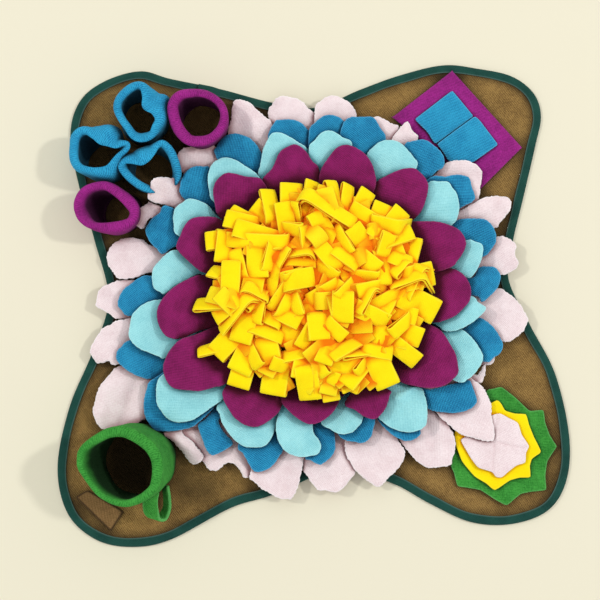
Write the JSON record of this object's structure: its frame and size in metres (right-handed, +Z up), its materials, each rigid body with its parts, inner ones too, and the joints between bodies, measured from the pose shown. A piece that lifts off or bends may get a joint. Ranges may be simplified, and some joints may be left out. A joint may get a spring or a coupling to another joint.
{
  "type": "snuffle mat",
  "caption": "Four-lobed fleece snuffle mat for a dog, with a layered flower and tuft in its middle, soft cups, a flap pocket, a mug and a star in its corners.",
  "frame": {"origin": "middle of the flat underside, on the floor", "axes": "+Z up, +X along the mat's longest way across, +Y towards the corner with the cups and the corner with the flap pocket"},
  "size_m": [0.5695, 0.5461, 0.078],
  "materials": {
    "brown_fleece": "matt",
    "green_binding": "matt",
    "pink_fleece": "matt",
    "petal_blue_fleece": "matt",
    "aqua_fleece": "matt",
    "wine_fleece": "matt",
    "yellow_fleece": "matt",
    "cup_blue_fleece": "matt",
    "cup_purple_fleece": "matt",
    "bright_green_fleece": "matt"
  },
  "bodies": {
    "root": {"base_mat": "brown_fleece", "base_patch": "brown_fleece", "binding": "green_binding", "pink_petal_01": "pink_fleece", "pink_petal_02": "pink_fleece", "pink_petal_03": "pink_fleece", "pink_petal_04": "pink_fleece", "pink_petal_05": "pink_fleece", "pink_petal_06": "pink_fleece", "pink_petal_07": "pink_fleece", "pink_petal_08": "pink_fleece", "pink_petal_09": "pink_fleece", "pink_petal_10": "pink_fleece", "pink_petal_11": "pink_fleece", "pink_petal_12": "pink_fleece", "pink_petal_13": "pink_fleece", "pink_petal_14": "pink_fleece", "pink_petal_15": "pink_fleece", "pink_petal_16": "pink_fleece", "pink_petal_17": "pink_fleece", "pink_petal_18": "pink_fleece", "pink_petal_19": "pink_fleece", "pink_petal_20": "pink_fleece", "pink_petal_21": "pink_fleece", "pink_petal_22": "pink_fleece", "pink_petal_23": "pink_fleece", "pink_petal_24": "pink_fleece", "pink_petal_25": "pink_fleece", "blue_petals": "petal_blue_fleece", "aqua_petals": "aqua_fleece", "purple_petal_01": "wine_fleece", "purple_petal_02": "wine_fleece", "purple_petal_03": "wine_fleece", "purple_petal_04": "wine_fleece", "purple_petal_05": "wine_fleece", "purple_petal_06": "wine_fleece", "purple_petal_07": "wine_fleece", "purple_petal_08": "wine_fleece", "purple_petal_09": "wine_fleece", "purple_petal_10": "wine_fleece", "purple_petal_11": "wine_fleece", "purple_petal_12": "wine_fleece", "purple_petal_13": "wine_fleece", "loop_tuft": "yellow_fleece", "blue_cup_top": "cup_blue_fleece", "blue_cup_left": "cup_blue_fleece", "blue_cup_right": "cup_blue_fleece", "purple_cup_top": "cup_purple_fleece", "purple_cup_left": "cup_purple_fleece", "green_cup": "bright_green_fleece", "green_handle": "bright_green_fleece", "pocket_square": "cup_purple_fleece", "pocket_flap_upper": "cup_blue_fleece", "pocket_flap_lower": "cup_blue_fleece", "star_green": "bright_green_fleece", "star_yellow": "yellow_fleece", "star_pink": "pink_fleece"}
  },
  "joints": []
}
